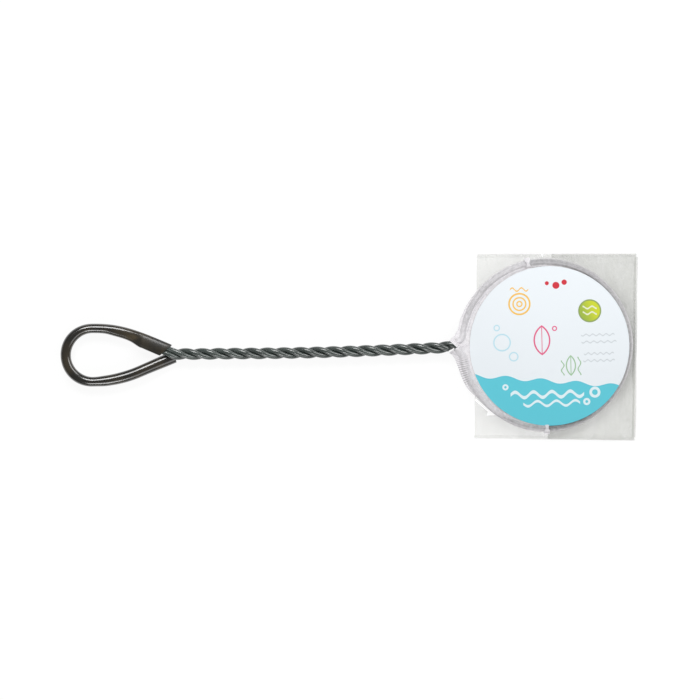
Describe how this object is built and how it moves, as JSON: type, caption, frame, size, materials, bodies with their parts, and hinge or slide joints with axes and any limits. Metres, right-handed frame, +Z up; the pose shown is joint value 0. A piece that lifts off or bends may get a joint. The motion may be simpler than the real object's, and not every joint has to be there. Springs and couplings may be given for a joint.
{
  "type": "aquarium hand net",
  "caption": "Small aquarium hand net: a twisted coated wire handle with a sleeved finger loop, a round wire hoop and a mesh bag folded flat under it, with a loose round card in the mouth.",
  "frame": {"origin": "the hoop's centre, on the surface that the net lies on", "axes": "+X from the finger loop along the handle to the hoop, +Z up, square to the hoop's plane"},
  "size_m": [0.3466, 0.1138, 0.0102],
  "materials": {
    "wire_coat": "satin dark green-grey plastic coat",
    "wire_core": "drawn steel wire",
    "sleeve": "glossy soft vinyl tube, almost black",
    "hem_cloth": "fine woven gauze, doubled",
    "mesh": "fine see-through nylon mesh",
    "thread": "white sewing thread",
    "card": "coated printed card"
  },
  "bodies": {
    "net": {"hoop_coat": "wire_coat", "hoop_core": "wire_core", "strand_a_coat": "wire_coat", "strand_b_coat": "wire_coat", "strand_c_coat": "wire_coat", "strand_a_core": "wire_core", "strand_b_core": "wire_core", "strand_c_core": "wire_core", "loop_coat": "wire_coat", "loop_core": "wire_core", "loop_sleeve": "sleeve", "near_hem_upper": "hem_cloth", "near_hem_lower": "hem_cloth", "far_hem": "hem_cloth", "hem_throat": "hem_cloth", "hem_thread": "thread", "bag_near_panel": "mesh", "bag_far_panel": "mesh", "upper_side_seam": "mesh", "lower_side_seam": "mesh", "end_seam": "mesh"},
    "loose_card": {"card": "card"}
  },
  "joints": [
    {"name": "card_lift", "type": "slide", "parent": "net", "child": "loose_card", "axis": [0, 0, 1], "range_m": [0, 0.025]}
  ]
}
